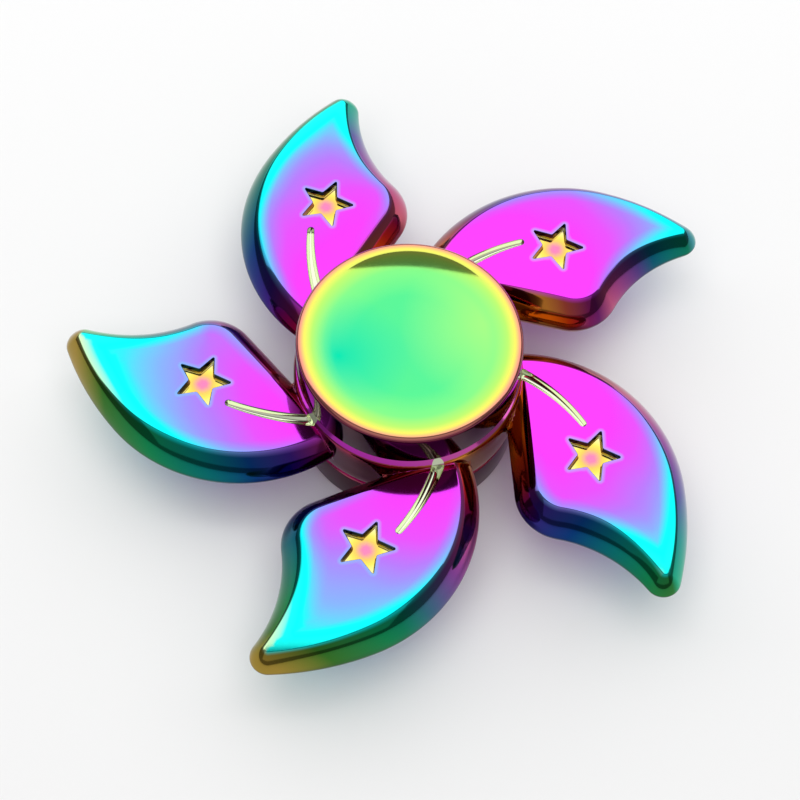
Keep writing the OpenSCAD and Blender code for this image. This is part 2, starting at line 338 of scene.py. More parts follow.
def body_normals(p, levels, delta=0.006):
    """Surface normals by differences; on the outline itself they point straight outwards."""
    x, y = np.array([delta, 0]), np.array([0, delta])
    dx = (body_level(p + x) - body_level(p - x)) / (2 * delta)
    dy = (body_level(p + y) - body_level(p - y)) / (2 * delta)
    normals = np.stack([-dx, -dy, np.ones(len(p))], 1)
    on_rim = levels <= 0
    q = p[on_rim]
    r = np.hypot(q[:, 0], q[:, 1])
    d = rim_distance(q)
    out = -np.stack([rim_distance(q + x) - d, rim_distance(q + y) - d], 1)
    out = np.where((r < HUB_R + HUB_TOLERANCE)[:, None], q / r[:, None], out / delta)
    normals[on_rim] = np.concatenate([out, np.zeros((len(q), 1))], 1)
    return normals / np.linalg.norm(normals, axis=1)[:, None]


def arc_points(centre, radius, first, last, spacing):
    """Points along an arc, without its last one, and their directions from its centre."""
    steps = max(2, math.ceil(abs(math.radians(last - first)) * radius / spacing))
    turns = first + (last - first) * np.arange(steps) / steps
    return [(centre + radius * heading(t), heading(t)) for t in turns]


def petal_rim():
    """Points and outward normals along the petal's outline, both ends running into the hub."""
    rim = []
    for centre, radius, first, last, bulges in ARCS:
        start = OUTLINE_START if first == SHOULDER_START else first
        spacing = RIM_SPACING * (NOSE_SPACING_SHARE if radius == NOSE_R else 1)
        arc = arc_points(centre, radius, start, last, spacing)
        rim += [(p, n if bulges else -n) for p, n in arc]
    steps = math.ceil(STRAIGHT_RUN / RIM_SPACING)
    rim += [(EDGE_START + EDGE_WAY * STRAIGHT_RUN * i / steps, EDGE_OUT) for i in range(steps + 1)]
    return rim


def outside_hub(rim):
    """The part of the outline outside the hub circle, from crossing to crossing."""
    outside = [k for k, (p, _) in enumerate(rim) if np.hypot(*p) > HUB_R]
    first, last = outside[0], outside[-1]

    def crossing(a, b):
        """Where the outline between two of its points meets the hub circle."""
        p, q = rim[a][0], rim[b][0]
        for _ in range(HALVINGS):
            middle = (p + q) / 2
            p, q = (middle, q) if np.hypot(*middle) > HUB_R else (p, middle)
        return p

    inner = [p for p, _ in rim[first : last + 1]]
    return [crossing(first, first - 1), *inner, crossing(last, last + 1)]


def ring_offsets(width, power, rings):
    """Distances inwards at which a rounded edge is sampled, even along its curve."""
    turns = np.linspace(0, math.pi / 2, rings)
    return width * (1 - np.cos(turns) ** (2 / power))


def runs_of(points, keep):
    """Unbroken runs of the points that are kept."""
    runs = [[]]
    for point, kept in zip(points, keep, strict=True):
        if kept:
            runs[-1].append(point)
        elif runs[-1]:
            runs.append([])
    return runs


def rim_rings(rim):
    """Copies of the outline moved inwards, across the rounded rim and just past its crease."""
    at = np.array([p for p, _ in rim])
    outward = np.array([n for _, n in rim])
    widths = rim_width(at)
    for _ in range(WIDTH_PASSES):
        widths = rim_width(at - outward * widths[:, None])
    chains = []
    for share in [*ring_offsets(1.0, RIM_POWER, RIM_RINGS)[1:], *PAST_CREASE]:
        offset = widths * share
        ring = at - outward * offset[:, None]
        clear_of_hub = np.hypot(ring[:, 0], ring[:, 1]) > HUB_R - HUB_EDGE_W
        chains += runs_of(ring, (rim_distance(ring) > offset - 1e-4) & clear_of_hub)
    return chains


def hub_rings(outline):
    """Arcs of one fifth of the hub ring. The outermost leaves out the stretch inside the petal."""
    after = direction((0, 0), outline[0])
    before = direction((0, 0), outline[-1])
    cut_low, cut_high = CUT_ANGLE, CUT_ANGLE + PETAL_STEP
    radii = [HUB_R - d for d in ring_offsets(HUB_EDGE_W, HUB_EDGE_POWER, 7)] + HUB_INNER_RADII
    chains = []
    for radius in radii:
        spans = [(cut_low, cut_high, HUB_STEPS)]
        if radius == HUB_R:
            spans = [(cut_low, before, HUB_STEPS // 6), (after, cut_high, HUB_STEPS // 3)]
        for low, high, steps in spans:
            turns = low + (high - low) * np.arange(steps + 1) / steps
            chains.append([radius * heading(t) for t in turns])
    return chains


def face_grid(taken):
    """Triangular grid over the petal's face, clear of the rim and of the points taken."""
    xs = np.arange(*FACE_X, FACE_SPACING)
    ys = np.arange(*FACE_Y, FACE_SPACING * ROW_SHARE)
    grid = [[x + (FACE_SPACING / 2 if j % 2 else 0), y] for j, y in enumerate(ys) for x in xs]
    grid = np.array(grid)
    clear_of_hub = np.hypot(grid[:, 0], grid[:, 1]) > HUB_R + HUB_CLEARANCE
    grid = grid[(rim_distance(grid) > rim_width(grid) * FACE_START) & clear_of_hub]
    gaps = np.array([np.linalg.norm(taken - q, axis=1).min() for q in grid])
    return grid[gaps > FACE_SPACING * FACE_GAP]


def sector_points():
    """Points and edges of one fifth of the body: a petal and its share of the hub ring."""
    rim = petal_rim()
    outline = outside_hub(rim)
    chains = [(chain, False) for chain in [outline, *rim_rings(rim), *hub_rings(outline)]]
    chains += [(list(offset_loop(STAR, offset)), True) for offset in star_offsets()]
    chains += [(groove_loop(share), True) for share in GROOVE_SHARES]
    points, edges = [], []
    for chain, closed in chains:
        start, last = len(points), len(points) + len(chain) - 1
        points.extend(chain)
        edges.extend((i, i + 1) for i in range(start, last))
        if closed:
            edges.append((last, start))
    points.extend(face_grid(np.array(points)))
    return points, edges


def star_offsets():
    """Distances from the star's outline at which its edge, wall and fillet are sampled."""
    edge = [STAR_EDGE * (1 - math.cos(t)) for t in np.linspace(math.pi / 2, 0, 5)]
    fillet = [-STAR_WALL_W - STAR_FILLET * (1 - math.cos(t)) for t in np.linspace(0, math.pi / 2, 6)]
    return [STAR_FACE_LOOP, *edge, -STAR_WALL_W * 0.5, *fillet, STAR_FLOOR_LOOP]


def offset_loop(loop, offset):
    """Closed outline moved outwards along its own normals."""
    way = np.roll(loop, -1, 0) - np.roll(loop, 1, 0)
    out = np.stack([way[:, 1], -way[:, 0]], 1)
    return loop + out / np.linalg.norm(out, axis=1)[:, None] * offset


def groove_loop(share):
    """Closed loop at a share of the groove's half width."""
    sides = []
    for side in (1, -1):
        row = []
        for i in range(GROOVE_STEPS + 1):
            t = i / GROOVE_STEPS
            half = (GROOVE_END_W + (GROOVE_ROOT_W - GROOVE_END_W) * t) / 2
            angle = GROOVE_END + (GROOVE_START - GROOVE_END) * t
            row.append(GROOVE_C + (GROOVE_R + side * share * half) * heading(angle))
        sides.append(row)
    end = GROOVE_C + GROOVE_R * heading(GROOVE_END)
    root = GROOVE_C + GROOVE_R * heading(GROOVE_START)
    caps = [
        [root + share * GROOVE_ROOT_W / 2 * heading(GROOVE_START + a) for a in range(20, 180, 20)],
        [end + share * GROOVE_END_W / 2 * heading(GROOVE_END + 180 + a) for a in range(20, 180, 20)],
    ]
    return sides[0] + caps[0] + sides[1][::-1] + caps[1]


def sector_triangles(points, edges):
    """Triangulated points of the sector, and the triangles of the petal and its hub share."""
    result = delaunay_2d_cdt([Vector(p) for p in points], edges, [], 0, CDT_TOLERANCE)
    p = np.array([list(v) for v in result[0]])
    tris = np.array([f for f in result[2] if len(f) == 3])
    middle = p[tris].mean(1)
    r = np.hypot(middle[:, 0], middle[:, 1])
    turn = (np.degrees(np.arctan2(middle[:, 1], middle[:, 0])) - CUT_ANGLE) % 360
    in_petal = (rim_distance(middle) > 0) & (r > HUB_R)
    in_share = (turn > CUT_TOLERANCE) & (turn < PETAL_STEP - CUT_TOLERANCE)
    in_ring = (r < HUB_R) & (r > BORE_R) & in_share
    tris = tris[in_petal | in_ring]
    a, b, c = p[tris[:, 0]], p[tris[:, 1]], p[tris[:, 2]]
    area = (b - a)[:, 0] * (c - a)[:, 1] - (b - a)[:, 1] * (c - a)[:, 0]
    facing_up = np.where((area < 0)[:, None], tris[:, ::-1], tris)
    return p, facing_up[np.abs(area) > SLIVER_AREA]


def sector_mesh():
    """One fifth of the upper surface as points, levels, normals and triangles."""
    p, tris = sector_triangles(*sector_points())
    levels = np.maximum(body_level(p), 0)
    r = np.hypot(p[:, 0], p[:, 1])
    inset = rim_distance(p)
    petal_edge = (np.abs(inset) < EDGE_TOLERANCE) & (r > HUB_R - EDGE_TOLERANCE)
    hub_edge = (np.abs(r - HUB_R) < EDGE_TOLERANCE) & (inset < EDGE_TOLERANCE)
    levels[petal_edge | hub_edge] = 0
    return p, levels, body_normals(p, levels), tris


def sector_marks(p):
    """The values of MARKS per point that are the same in every petal."""
    inset = np.clip(rim_distance(p), 0, INSET_LIMIT)
    star_reach = np.linalg.norm(p - STAR_C, axis=1)
    share = np.minimum(groove_share(p), SHARE_LIMIT)
    return np.stack([inset, star_distance(p), star_reach, share], 1)


def edge_highlight_shift(p, angle):
    """Painted highlight: shift of the plating's colour, in mm, where the nearest outline faces left or
    right at rest, standing in for the colour those edges catch from the light.
    """
    step = 0.01
    here = rim_distance(p)
    slope_x = rim_distance(p + np.array([step, 0])) - here
    slope_y = rim_distance(p + np.array([0, step])) - here
    outward = -rotated(np.stack([slope_x, slope_y], 1) / step, angle)
    left = outward @ heading(LEFTWARDS)
    return np.where(left > 0, left * LEFT_HIGHLIGHT_SHIFT, -left * RIGHT_HIGHLIGHT_SHIFT)


def mesh_object(name, verts, faces, normals=None):
    """Object from millimetre coordinates about the mid-plane. Normals are per face corner."""
    mesh = bpy.data.meshes.new(name)
    at = (np.asarray(verts) + [0, 0, MID_Z]) * MM
    mesh.from_pydata(at.tolist(), [], [list(map(int, f)) for f in faces])
    mesh.polygons.foreach_set("use_smooth", [True] * len(mesh.polygons))
    if normals is not None:
        mesh.normals_split_custom_set(np.asarray(normals).tolist())
    mesh.update()
    obj = bpy.data.objects.new(name, mesh)
    bpy.context.scene.collection.objects.link(obj)
    return obj


def merged(points, tolerance=2e-4):
    """Indices of the points kept, and for each point the place of its twin among them."""
    keys = np.round(points / tolerance).astype(np.int64)
    _, kept, twin = np.unique(keys, axis=0, return_index=True, return_inverse=True)
    return kept, twin.ravel()


def ten_sectors():
    """All copies of the sector, both sides up, as points, normals, marks and triangles."""
    p, levels, normals, tris = sector_mesh()
    sector = sector_marks(p)
    verts, norms, marks, faces = [], [], [], []
    for side in (1, -1):
        for k in range(PETALS):
            angle = FIRST_PETAL + PETAL_STEP * k
            faces.append((tris if side == 1 else tris[:, ::-1]) + len(p) * len(verts))
            verts.append(np.concatenate([rotated(p, angle), side * levels[:, None]], 1))
            norms.append(np.concatenate([rotated(normals[:, :2], angle), side * normals[:, 2:]], 1))
            marks.append(np.concatenate([sector, edge_highlight_shift(p, angle)[:, None]], 1))
    return [np.concatenate(rows) for rows in (verts, norms, marks, faces)]


def welded(verts, norms, marks, faces):
    """The same mesh without unused points, twins and the triangles that close up."""
    used = np.unique(faces)
    place = np.full(len(verts), -1)
    place[used] = np.arange(len(used))
    verts, norms, marks, faces = verts[used], norms[used], marks[used], place[faces]
    kept, twin = merged(verts)
    faces = twin[faces]
    a, b, c = faces.T
    return verts[kept], norms[kept], marks[kept], faces[(a != b) & (b != c) & (a != c)]


def bore_wall(verts):
    """Faces of the bore between the upper and lower surface, and their corner normals."""
    on_bore = np.flatnonzero(np.abs(np.hypot(verts[:, 0], verts[:, 1]) - BORE_R) < BORE_TOLERANCE)
    rings = []
    for side in (1, -1):
        ring = on_bore[side * verts[on_bore, 2] > 0]
        rings.append(ring[np.argsort(np.arctan2(verts[ring, 1], verts[ring, 0]))])
    upper, lower = rings
    wall = [[upper[i], lower[i], lower[i - 1], upper[i - 1]] for i in range(len(upper))]
    inward = [-verts[v, :2] / np.hypot(*verts[v, :2]) for quad in wall for v in quad]
    return wall, np.array([[*way, 0.0] for way in inward])


def petal_body():
    """The five petals and the hub ring as one closed mesh, kept inside the CAD part's box."""
    verts, norms, marks, faces = welded(*ten_sectors())
    wall, wall_normals = bore_wall(verts)
    corner_normals = np.concatenate([norms[faces].reshape(-1, 3), wall_normals])
    verts[:, :2] = np.clip(verts[:, :2], BODY_LOW[:2], BODY_HIGH[:2])
    obj = mesh_object("petals", verts, [*faces.tolist(), *wall], corner_normals)
    for name, values in zip(MARKS, marks.T, strict=True):
        attribute = obj.data.attributes.new(name, "FLOAT", "POINT")
        attribute.data.foreach_set("value", values.astype(np.float32))
    return obj


# ---------------------------------------------------------------- caps
CAP_BASE_LEVEL = CROWN_LEVEL + 0.25
CAP_ROUND_R = 0.5
CAP_FOOT_R = 0.15
CAP_LAND_W = 0.35
DISH_DEPTH = 1.2
DISH_POWER = 3.0     # over 2 is flatter in the middle and steeper at the edge than a bowl
BOSS_R = 4.2
SPIGOT_R = 2.97
SPIGOT_GAP = 0.3
POST_R, POST_REACH, POST_GAP = 1.95, 3.2, 0.05
LATHE_STEPS, DISH_STEPS = 240, 40


def lathe(name, profile, side=1):
    """Closed surface of revolution from (radius, level) points, mirrored where side is -1."""
    verts, faces = [], []
    rings = []
    for radius, level in profile:
        if radius < 1e-6:
            rings.append([len(verts)])
            verts.append([0, 0, side * level])
            continue
        rings.append(list(range(len(verts), len(verts) + LATHE_STEPS)))
        turns = np.arange(LATHE_STEPS) * 2 * math.pi / LATHE_STEPS
        verts += [[radius * math.cos(t), radius * math.sin(t), side * level] for t in turns]
    for upper, lower in zip(rings[:-1], rings[1:], strict=True):
        for i in range(LATHE_STEPS):
            j = (i + 1) % LATHE_STEPS
            if len(upper) == 1:
                face = [upper[0], lower[i], lower[j]]
            elif len(lower) == 1:
                face = [upper[i], lower[0], upper[j]]
            else:
                face = [upper[i], lower[i], lower[j], upper[j]]
            faces.append(face if side == 1 else face[::-1])
    obj = mesh_object(name, verts, faces)
    sharpen(obj.data)
    return obj


def sharpen(mesh, limit=25):
    """Marks edges sharper than limit degrees, so that round stretches shade smoothly."""
    mesh.set_sharp_from_angle(angle=math.radians(limit))


def fillet(centre, radius, first, last, steps):
    """Points of an arc in a half section, between two directions in degrees."""
    turns = np.linspace(math.radians(first), math.radians(last), steps + 1)
    return [(centre[0] + radius * math.cos(t), centre[1] + radius * math.sin(t)) for t in turns]


def cap_profile(with_post):
    """Half section of the upper cap from the dish's centre outwards and back to the axis.

    The same section, mirrored and with a socket in place of the post, is the lower cap's.
    """
    dish_rim = CAP_R - CAP_ROUND_R - CAP_LAND_W
    radii = np.linspace(0, dish_rim, DISH_STEPS)
    profile = [(r, CAP_FACE_LEVEL - DISH_DEPTH * (1 - (r / dish_rim) ** DISH_POWER)) for r in radii]
    top = (CAP_R - CAP_ROUND_R, CAP_FACE_LEVEL - CAP_ROUND_R)
    foot = (CAP_R - CAP_FOOT_R, CAP_BASE_LEVEL + CAP_FOOT_R)
    profile += fillet(top, CAP_ROUND_R, 90, 0, 10)
    profile += fillet(foot, CAP_FOOT_R, 0, -90, 5)
    profile += [(BOSS_R, CAP_BASE_LEVEL), (BOSS_R, BEARING_LEVEL), (SPIGOT_R, BEARING_LEVEL)]
    profile += [(SPIGOT_R, SPIGOT_GAP / 2)]
    if with_post:
        profile += [(POST_R, SPIGOT_GAP / 2), (POST_R, -POST_REACH), (0, -POST_REACH)]
    else:
        depth = POST_REACH + SPIGOT_GAP
        profile += [(POST_R + POST_GAP, SPIGOT_GAP / 2), (POST_R + POST_GAP, depth), (0, depth)]
    return profile


# ---------------------------------------------------------------- materials
NOISE_RANGE = (0.3, 0.7)         # most of the noise lies between these values
PETAL_ROUGHNESS, CAP_ROUGHNESS = (0.06, 0.10), (0.06, 0.11)
STEEL_DARKEST = 0.85             # share of a steel's tone left in its darkest spots


def new_material(name):
    """A material with its node tree and shader."""
    material = bpy.data.materials.new(name)
    material.use_nodes = True
    return material, material.node_tree, material.node_tree.nodes["Principled BSDF"]


def linear(colour):
    """Linear values of a colour given as screen values from 0 to 1."""
    return [c / 12.92 if c <= 0.04045 else ((c + 0.055) / 1.055) ** 2.4 for c in colour]


def ramp_node(tree, value, stops):
    """Colour ramp over stops given as (position, screen colour)."""
    node = tree.nodes.new("ShaderNodeValToRGB")
    elements = node.color_ramp.elements
    while len(elements) < len(stops):
        elements.new(0.5)
    for element, (position, colour) in zip(elements, stops, strict=True):
        element.position = position
        element.color = (*linear(colour), 1)
    tree.links.new(value, node.inputs["Fac"])
    return node.outputs["Color"]


def math_node(tree, operation, first, second=None):
    """Maths node whose inputs are numbers or sockets."""
    node = tree.nodes.new("ShaderNodeMath")
    node.operation = operation
    for socket, value in zip(node.inputs, (first, second), strict=False):
        if isinstance(value, (int, float)):
            socket.default_value = value
        elif value is not None:
            tree.links.new(value, socket)
    return node.outputs[0]


def mix_node(tree, share, first, second):
    """Mix of two colours, each a socket or linear values."""
    node = tree.nodes.new("ShaderNodeMix")
    node.data_type = "RGBA"
    for name, value in (("Factor", share), ("A", first), ("B", second)):
        socket = node.inputs[name]
        if isinstance(value, (list, tuple)):
            socket.default_value = (*value, 1)
        else:
            tree.links.new(value, socket)
    return node.outputs["Result"]


def place_nodes(tree):
    """Object coordinates, and their distance from a point as a function."""
    coords = tree.nodes.new("ShaderNodeTexCoord")

    def distance(point):
        """Distance from a point in millimetres, measured in plan."""
        away = tree.nodes.new("ShaderNodeVectorMath")
        away.operation = "SUBTRACT"
        away.inputs[1].default_value = [v * MM for v in point]
        tree.links.new(coords.outputs["Object"], away.inputs[0])
        scaled = tree.nodes.new("ShaderNodeVectorMath")
        scaled.operation = "MULTIPLY"
        scaled.inputs[1].default_value = (1 / MM, 1 / MM, 0)
        tree.links.new(away.outputs[0], scaled.inputs[0])
        length = tree.nodes.new("ShaderNodeVectorMath")
        length.operation = "LENGTH"
        tree.links.new(scaled.outputs[0], length.inputs[0])
        return length.outputs["Value"]

    return coords, distance


def share_of(tree, value, low, high):
    """Value mapped from low..high to 0..1 and clamped."""
    node = tree.nodes.new("ShaderNodeMapRange")
    node.clamp = True
    tree.links.new(value, node.inputs["Value"])
    node.inputs["From Min"].default_value = low
    node.inputs["From Max"].default_value = high
    return node.outputs["Result"]


def separate(tree, vector, axis):
    """One axis of a vector."""
    node = tree.nodes.new("ShaderNodeSeparateXYZ")
    tree.links.new(vector, node.inputs[0])
    return node.outputs[axis]


def noise_node(tree, coords, scale, detail):
    """Noise fixed to the object, with its scale per metre."""
    noise = tree.nodes.new("ShaderNodeTexNoise")
    noise.inputs["Scale"].default_value = scale
    noise.inputs["Detail"].default_value = detail
    tree.links.new(coords.outputs["Object"], noise.inputs["Vector"])
    return noise.outputs["Fac"]


def smudges(tree, coords, low, high, scale=180):
    """Faint uneven gloss between two roughness values, from noise."""
    spread = share_of(tree, noise_node(tree, coords, scale, 4), *NOISE_RANGE)
    return math_node(tree, "ADD", math_node(tree, "MULTIPLY", spread, high - low), low)


FILM_CENTRE = (2.9, 2.2, 0)      # the coating changes colour with the distance from here
EDGE_BAND = (1.0, 4.4)           # and runs ahead in this band along the edges that face sideways, as a painted highlight
CREASE_HIGHLIGHT_BAND = (1.8, 2.9)         # and a little in this thin band along every edge of a face, also a painted highlight
CREASE_HIGHLIGHT_SHIFT = 4.0
EDGE_BAND_POWER = 1.5
SHIFT_FROM = (10, 17)            # distance from the centre over which these bands fade in
FACE_UPRIGHT = (0.74, 0.97)      # upright share of the normal over which a wall turns into a face
FACE_FILM = [
    (12.0, (0.98, 0.25, 0.97)),
    (16.5, (0.93, 0.25, 0.99)),
    (19.5, (0.87, 0.31, 0.99)),
    (21.2, (0.78, 0.39, 0.99)),
    (22.7, (0.69, 0.46, 0.99)),
    (24.6, (0.60, 0.56, 0.99)),
    (26.4, (0.51, 0.67, 0.99)),
    (28.2, (0.39, 0.79, 0.99)),
    (29.8, (0.22, 0.89, 0.99)),
    (31.2, (0.08, 0.96, 0.98)),
    (33.0, (0.06, 0.96, 0.96)),
    (38.0, (0.12, 0.98, 0.93)),
    (43.5, (0.85, 1.0, 0.75)),
]
# Wall films, in the coating's own order of colours: walls facing the near side take these darker ones
# as painted shade, those facing the far side the brighter ones below as painted reflection
SHADED_NEAR_WALL_FILM = [
    (11.0, (0.80, 0.50, 0.20)),
    (12.5, (0.66, 0.28, 0.22)),
    (14.5, (0.46, 0.12, 0.34)),
    (17.5, (0.22, 0.12, 0.46)),
    (21.0, (0.05, 0.22, 0.46)),
    (24.5, (0.04, 0.42, 0.42)),
    (28.5, (0.08, 0.50, 0.30)),
    (31.5, (0.22, 0.44, 0.16)),
    (34.0, (0.62, 0.52, 0.22)),
]
LIT_FAR_WALL_FILM = [
    (11.0, (0.80, 0.55, 0.22)),
    (14.0, (0.80, 0.38, 0.36)),
    (18.0, (0.74, 0.30, 0.50)),
    (22.0, (0.56, 0.24, 0.60)),
    (25.5, (0.34, 0.34, 0.62)),
    (28.0, (0.12, 0.60, 0.58)),
    (31.0, (0.12, 0.72, 0.52)),
    (34.0, (0.50, 0.80, 0.50)),
]
LIT_FAR_SIDE = (0.70, 0.65, 0.0)     # walls that face this way take the brighter colours, a painted reflection of the lit surround
FACING_FADE = (0.05, 0.5)
STAR_FILM = [
    (0.0, (0.97, 0.50, 0.76)),
    (0.4, (0.98, 0.54, 0.70)),
    (0.95, (1.0, 0.80, 0.40)),
    (1.4, (1.0, 0.90, 0.38)),
    (2.0, (1.0, 0.95, 0.62)),
    (2.6, (0.95, 0.98, 0.90)),
]
GROOVE_TONE = (0.93, 0.97, 0.84)
HALO_TONE = (0.45, 0.80, 0.95)
HALO_SHARE = 0.5
HALO_FADE, HALO_START = (0.42, 0.08), (0.0, 0.04)    # distances outside the star's outline
GROOVE_FADE = (1.02, 0.92)
WALL_SHADE_TONE = (0.03, 0.09, 0.12)   # painted shade: the film is darkened where a wall stands upright
WALL_SHADE_SHARE = 0.55
WALL_SHADE_UPRIGHT = (0.35, 0.0)
FILM_DRIFT, FILM_DRIFT_SCALE = 5.0, 110


def attribute_node(tree, name):
    """A value that the body's points carry."""
    node = tree.nodes.new("ShaderNodeAttribute")
    node.attribute_name = name
    return node.outputs["Fac"]


def film_ramp(tree, value, stops):
    """Colour ramp whose stops are given in millimetres."""
    low, high = stops[0][0], stops[-1][0]
    scaled = [((at - low) / (high - low), colour) for at, colour in stops]
    return ramp_node(tree, share_of(tree, value, low, high), scaled)


def film_drift(tree, coords):
    """Slow wandering of the coating's thickness, in millimetres of its colour scale."""
    centred = math_node(tree, "SUBTRACT", noise_node(tree, coords, FILM_DRIFT_SCALE, 1), 0.5)
    return math_node(tree, "MULTIPLY", centred, FILM_DRIFT)


def facing_share(tree, normal, way):
    """Share from 0 to 1 by which a normal points a given way."""
    node = tree.nodes.new("ShaderNodeVectorMath")
    node.operation = "DOT_PRODUCT"
    node.inputs[1].default_value = way
    tree.links.new(normal, node.inputs[0])
    return share_of(tree, node.outputs["Value"], *FACING_FADE)


def face_colour(tree, coords, away):
    """Film colour of the faces, which runs ahead along their edges as a painted highlight."""
    inset = attribute_node(tree, "inset")
    # Painted highlight: the colour runs ahead in bands along the edges
    band = share_of(tree, inset, EDGE_BAND[1], EDGE_BAND[0])
    band = math_node(tree, "POWER", band, EDGE_BAND_POWER)
    crease = share_of(tree, inset, CREASE_HIGHLIGHT_BAND[1], CREASE_HIGHLIGHT_BAND[0])
    sideways = math_node(tree, "MULTIPLY", band, attribute_node(tree, "edge_highlight_shift"))
    shift = math_node(tree, "ADD", sideways, math_node(tree, "MULTIPLY", crease, CREASE_HIGHLIGHT_SHIFT))
    shift = math_node(tree, "MULTIPLY", shift, share_of(tree, away, *SHIFT_FROM))
    thickness = math_node(tree, "ADD", away, shift)
    thickness = math_node(tree, "ADD", thickness, film_drift(tree, coords))
    return film_ramp(tree, thickness, FACE_FILM)


def wall_colour(tree, normal, upright, away):
    """Film colour of the rounded rims and walls, by the way they face, with painted reflection and
    shade: brighter facing the far side, darker facing near and darkest where upright.
    """
    shaded_near_wall = film_ramp(tree, away, SHADED_NEAR_WALL_FILM)
    lit_far_wall = film_ramp(tree, away, LIT_FAR_WALL_FILM)
    wall = mix_node(tree, facing_share(tree, normal, LIT_FAR_SIDE), shaded_near_wall, lit_far_wall)
    # Painted shade: upright walls are darkened
    foot = math_node(tree, "MULTIPLY", share_of(tree, upright, *WALL_SHADE_UPRIGHT), WALL_SHADE_SHARE)
    return mix_node(tree, foot, wall, linear(WALL_SHADE_TONE))


def with_stars(tree, colour):
    """Adds the gold stars with their pink middles, and a pale halo round each."""
    star_edge = attribute_node(tree, "star_edge")
    halo = math_node(tree, "MULTIPLY", share_of(tree, star_edge, *HALO_FADE), HALO_SHARE)
    halo = math_node(tree, "MULTIPLY", halo, share_of(tree, star_edge, *HALO_START))
    haloed = mix_node(tree, halo, colour, linear(HALO_TONE))
    star = film_ramp(tree, attribute_node(tree, "star_reach"), STAR_FILM)
    return mix_node(tree, share_of(tree, star_edge, -STAR_WALL_W * 0.8, -STAR_WALL_W), haloed, star)


def petal_plating():
    """Rainbow film on metal: its colours follow the distance from a point near the spin axis. Rims and
    walls take darker and brighter copies as painted shade and reflection, and edges a painted
    highlight.
    """
    material, tree, shader = new_material("petal_plating")
    coords, distance = place_nodes(tree)
    away = distance(FILM_CENTRE)
    normal = coords.outputs["Normal"]
    upright = math_node(tree, "ABSOLUTE", separate(tree, normal, "Z"))
    face = face_colour(tree, coords, away)
    wall = wall_colour(tree, normal, upright, away)
    # Rims and walls take the wall colours with their painted shade and reflection, faces the film
    colour = mix_node(tree, share_of(tree, upright, *FACE_UPRIGHT), wall, face)
    colour = with_stars(tree, colour)
    groove = share_of(tree, attribute_node(tree, "groove_share"), *GROOVE_FADE)
    colour = mix_node(tree, groove, colour, linear(GROOVE_TONE))
    shader.inputs["Metallic"].default_value = 1.0
    tree.links.new(colour, shader.inputs["Base Color"])
    tree.links.new(smudges(tree, coords, *PETAL_ROUGHNESS), shader.inputs["Roughness"])
    return material


CAP_FILM = [
    (0.0, (0.32, 0.90, 0.58)),
    (0.50, (0.34, 0.91, 0.56)),
    (0.74, (0.50, 0.94, 0.52)),
    (0.86, (0.72, 0.95, 0.42)),
    (0.925, (0.96, 0.92, 0.40)),
    (0.96, (0.96, 0.66, 0.52)),
    (1.0, (0.80, 0.36, 0.50)),
]
# Centre, colour and reach of the soft patches in the dish: teal on one side and lime on the other
CAP_PATCHES = [
    ((-6.0, -2.6, 0), (0.02, 0.86, 0.66), 6.5),
    ((6.5, 3.5, 0), (0.62, 0.95, 0.50), 8.0),
]
CAP_PATCH_FADE = (9.0, 7.0)
# Plum of the film, darkened further as painted shade in place of dark reflections on the wall
CAP_WALL_SHADED = (0.28, 0.05, 0.15)
CAP_FACE_UPRIGHT = (0.35, 0.9)


def cap_plating():
    """Green dish with a gold and pink edge, on a plum wall darkened as painted shade."""
    material, tree, shader = new_material("cap_plating")
    coords, distance = place_nodes(tree)
    from_axis = distance((0, 0, 0))
    face = ramp_node(tree, share_of(tree, from_axis, 0, CAP_R), CAP_FILM)
    middle = share_of(tree, from_axis, *CAP_PATCH_FADE)
    for place, colour, reach in CAP_PATCHES:
        patch = math_node(tree, "MULTIPLY", share_of(tree, distance(place), reach, 0), middle)
        face = mix_node(tree, patch, face, linear(colour))
    upright = math_node(tree, "ABSOLUTE", separate(tree, coords.outputs["Normal"], "Z"))
    # Walls take the darkened plum, partly painted shade
    colour = mix_node(tree, share_of(tree, upright, *CAP_FACE_UPRIGHT), linear(CAP_WALL_SHADED), face)
    shader.inputs["Metallic"].default_value = 1.0
    tree.links.new(colour, shader.inputs["Base Color"])
    tree.links.new(smudges(tree, coords, *CAP_ROUGHNESS), shader.inputs["Roughness"])
    return material


def steel(name, colour, low, high, scale):
    """Plain steel whose gloss and tone vary a little."""
    material, tree, shader = new_material(name)
    coords, _ = place_nodes(tree)
    darker = [c * STEEL_DARKEST for c in linear(colour)]
    tone = mix_node(tree, noise_node(tree, coords, scale, 2), darker, linear(colour))
    shader.inputs["Metallic"].default_value = 1.0
    tree.links.new(tone, shader.inputs["Base Color"])
    tree.links.new(smudges(tree, coords, low, high, scale), shader.inputs["Roughness"])
    return material


def plain(name, colour, roughness):
    """One even colour, for the floor only."""
    material, _, shader = new_material(name)
    shader.inputs["Base Color"].default_value = (*linear(colour), 1)
    shader.inputs["Roughness"].default_value = roughness
    return material


# ---------------------------------------------------------------- pieces
def paint(obj, material):
    """Gives an object one material in place of those it has."""
    obj.data.materials.clear()
    obj.data.materials.append(material)


PLATING = petal_plating()
CAP_PLATING = cap_plating()

petals = petal_body()
paint(petals, PLATING)
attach(petals, "spinner")
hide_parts("petal_body")

for node, side in (("upper_cap", 1), ("lower_cap", -1)):
    cap = lathe(f"plated_{node}", cap_profile(with_post=side == 1), side)
    paint(cap, CAP_PLATING)
    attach(cap, "caps")
    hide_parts(node)

